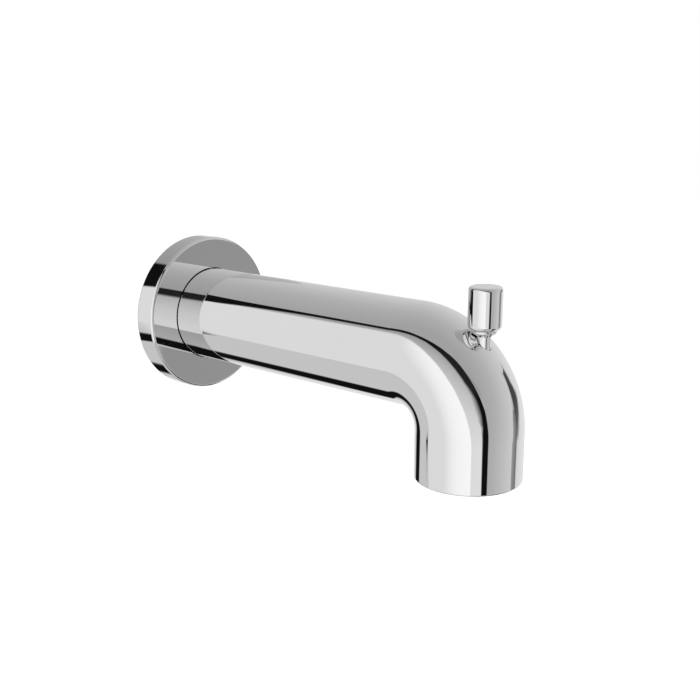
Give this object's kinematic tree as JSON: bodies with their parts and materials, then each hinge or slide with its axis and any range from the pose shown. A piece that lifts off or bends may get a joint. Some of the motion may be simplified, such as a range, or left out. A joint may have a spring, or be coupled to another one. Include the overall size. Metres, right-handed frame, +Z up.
{
  "type": "bath spout",
  "caption": "Wall-mounted chrome bath spout: a straight round tube with a tight downward bend, a round wall flange and a lift knob on the bend that diverts the water.",
  "frame": {"origin": "centre of the inlet bore at the wall plane, where the back of the wall flange lies", "axes": "+X out of the wall along the spout's axis, +Z up, the outlet points down"},
  "size_m": [0.1743, 0.0698, 0.0792],
  "materials": {
    "chrome": "polished",
    "brass": "satin",
    "steel": "satin",
    "rubber": "matte",
    "sponge_rubber": "matte",
    "acetal": "satin"
  },
  "bodies": {
    "spout": {"spout_body": "chrome", "wall_flange": "chrome", "flange_gasket": "sponge_rubber", "flange_o_ring": "rubber", "inlet_adapter": "brass", "adapter_o_ring": "rubber", "pipe_o_rings": "rubber", "set_screw": "steel", "rod_gland": "brass", "rod_o_ring": "rubber", "diverter_housing": "acetal", "housing_o_ring": "rubber", "stream_straightener": "acetal", "retaining_ring": "chrome"},
    "diverter": {"lift_knob": "chrome", "lift_rod": "chrome", "diverter_gate": "brass", "gate_seal": "rubber", "gate_lock_nut": "brass"}
  },
  "joints": [
    {"name": "diverter_lift", "type": "slide", "parent": "spout", "child": "diverter", "axis": [0, 0, 1], "range_m": [0, 0.011]}
  ]
}
